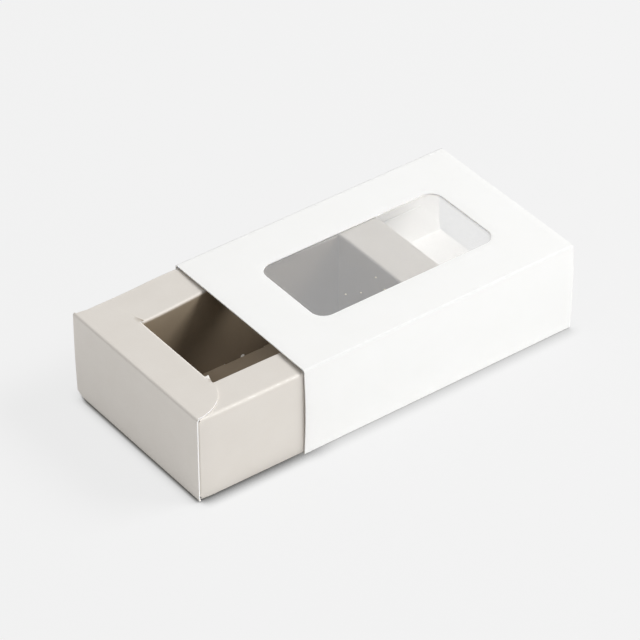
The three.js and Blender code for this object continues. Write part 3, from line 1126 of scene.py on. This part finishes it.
for side, end in tray_corners:
    node = f"tray_{side}_{end}_tab_glue"
    low, high = box_mm(node)
    outline = rounded_rectangle(
        Vector((low.x, low.z)), Vector((high.x, high.z)), (high.x - low.x) / 2
    )

    def bead_place(spot, y=low.y):
        return Vector((spot.x, y, spot.y)), Vector((0, -1, 0)), 0, 0

    bead = Blank([outline], PANEL_SPACING).fold_up(
        f"{side}_{end}_tab_bead", bead_place, high.y - low.y, (glue, glue, glue), crush=GLUE_CRUSH
    )
    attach(bead, "tray")
    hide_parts(node)

    node = f"tray_{side}_{end}_ear_glue"
    low, high = box_mm(node)
    middle, radius = (low + high) / 2, (high.x - low.x) / 2

    def dot_place(spot, z=high.z):
        return Vector((spot.x, spot.y, z)), Vector((0, 0, 1)), 0, 0

    dot = Blank([ring(middle, radius, DOT_SIDES)], PANEL_SPACING).fold_up(
        f"{side}_{end}_ear_dot", dot_place, high.z - low.z, (glue, glue, glue), crush=GLUE_CRUSH
    )
    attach(dot, "tray")
    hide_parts(node)


# The floor that the box stands on: a wide sheet of pale matt paper, laid flat. It isn't part of the
# box, whose shadow it holds.

FLOOR_HALF = 3000
FLOOR_SQUARES = 12
FLOOR_GLOW = 0.88

# The shade close to the box: how far each of its two looks round a spot of the floor reaches, and the
# way that it leans
CONTACT_REACH = 5
CONTACT_LEAN = (-0.15, -0.4, 0.9)
FOOT_REACH = 1.5
FOOT_LEAN = (0.4, 0.5, 0.77)
AIR_SAMPLES = 16

# Where the shade turns lighter: along the box from the tray to the sleeve, and across its right foot
SLEEVE_STRETCH = (-55, -35)
RIGHT_STRETCH = (28.5, 30.5)

ground_mesh = bmesh.new()
bmesh.ops.create_grid(
    ground_mesh, x_segments=FLOOR_SQUARES, y_segments=FLOOR_SQUARES, size=FLOOR_HALF * MM
)
ground_data = bpy.data.meshes.new("floor")
ground_mesh.to_mesh(ground_data)
ground_mesh.free()
ground = bpy.data.objects.new("floor", ground_data)
bpy.context.scene.collection.objects.link(ground)


def pale_floor():
    """A pale sheet of paper. What the camera and reflections see of it is part glow, so that it looks
    evenly pale and still holds the box's shadow."""
    finish = material("pale_floor")
    cloud = finish.grain(60, 2)

    def open_air(reach, lean):
        """How open the air is within a reach of the floor, seen mostly the way that the look leans."""
        towards = finish.node("ShaderNodeCombineXYZ", {}, dict(zip("XYZ", lean)))
        sockets = {"Distance": reach * MM, "Normal": towards}
        return finish.node("ShaderNodeAmbientOcclusion", {"samples": AIR_SAMPLES}, sockets, "AO")

    def past(axis, stretch):
        """0 before a stretch of the floor, 1 past it."""
        place = finish.node("ShaderNodeTexCoord", output="Object")
        along = finish.node("ShaderNodeSeparateXYZ", {}, {"Vector": place}, axis)
        return along.between(stretch[0] * MM, stretch[1] * MM)

    pale = finish.mix(cloud, paint(233, 233, 233), paint(236, 236, 236))
    paper = finish.node("ShaderNodeBsdfDiffuse", {}, {"Color": pale})
    shade = finish.mix(past("Y", SLEEVE_STRETCH), paint(70, 70, 70), paint(200, 200, 200))
    foot_line = finish.mix(past("X", RIGHT_STRETCH), paint(70, 68, 62), paint(165, 165, 163))
    wide = open_air(CONTACT_REACH, CONTACT_LEAN).between(0.3, 1)
    tight = open_air(FOOT_REACH, FOOT_LEAN).between(0.2, 0.85)
    glow_colour = finish.mix(wide, shade, paint(243, 243, 243))
    glow_colour = finish.mix(tight, foot_line, glow_colour)
    glow = finish.node("ShaderNodeEmission", {}, {"Color": glow_colour, "Strength": 1})
    seen = finish.ray("Is Camera Ray") + finish.ray("Is Glossy Ray") + finish.ray("Is Transmission Ray")
    return finish.end(finish.blend(seen * FLOOR_GLOW, paper, glow))


ground_data.materials.append(pale_floor())


# The light: a pale room, a wide soft panel high up on the right, and a low dim one on the right that
# stands nearer the camera.


def light_panel(name, place, width, height, glow):
    """A soft panel that faces the box. glow is its brightness, where 1 is white."""
    lamp = bpy.data.lights.new(name, "AREA")
    lamp.shape = "RECTANGLE"
    lamp.size, lamp.size_y = width, height
    lamp.energy = glow * math.pi * width * height
    made = bpy.data.objects.new(name, lamp)
    made.location = place
    made.rotation_mode = "QUATERNION"
    made.rotation_quaternion = Vector(place).to_track_quat("Z", "Y")
    bpy.context.scene.collection.objects.link(made)


light_panel("key_panel", place=(0.81, 1.4, 1.59), width=1.17, height=0.9, glow=15.1)
light_panel("right_panel", place=(1.15, 0.4, 0.36), width=1.2, height=0.6, glow=0.6)

ROOM_LIGHT = 0.36
GLOSS_SHARE = 0.64
world = bpy.data.worlds.new("pale_room")
bpy.context.scene.world = world
room = Finish(world)
seen = room.ray("Is Camera Ray") + room.ray("Is Glossy Ray") * GLOSS_SHARE
seen += room.ray("Is Transmission Ray")
strength = ROOM_LIGHT + seen * (1 - ROOM_LIGHT)
backdrop = room.node("ShaderNodeBackground", {}, {"Color": (1, 1, 1, 1), "Strength": strength})
room.end(backdrop, "ShaderNodeOutputWorld")


# The camera, where the photograph was taken from. Its place was worked out from the corners of the
# box, and its long lens keeps the box's edges nearly parallel.

CAMERA_PLACE = Vector((0.69206, -0.53936, 0.68197))
AZIMUTH = math.radians(53.109)
ELEVATION = math.radians(37.592)
ROLL = math.radians(-0.115)
FOCAL_LENGTH = 213.6
SENSOR = 36
NEAREST = 0.05
FARTHEST = 20

flat = math.cos(ELEVATION)
back = Vector((math.sin(AZIMUTH) * flat, -math.cos(AZIMUTH) * flat, math.sin(ELEVATION)))
level = Vector((math.cos(AZIMUTH), math.sin(AZIMUTH), 0))
upright = back.cross(level)
right = level * math.cos(ROLL) + upright * math.sin(ROLL)
up = upright * math.cos(ROLL) - level * math.sin(ROLL)
lens = bpy.data.cameras.new("camera")
lens.lens = FOCAL_LENGTH
lens.sensor_width = SENSOR
lens.clip_start = NEAREST
lens.clip_end = FARTHEST
camera = bpy.data.objects.new("camera", lens)
bpy.context.scene.collection.objects.link(camera)
camera.matrix_world = Matrix.Translation(CAMERA_PLACE) @ Matrix((right, up, back)).transposed().to_4x4()
bpy.context.scene.camera = camera
bpy.context.scene.view_settings.view_transform = "Standard"
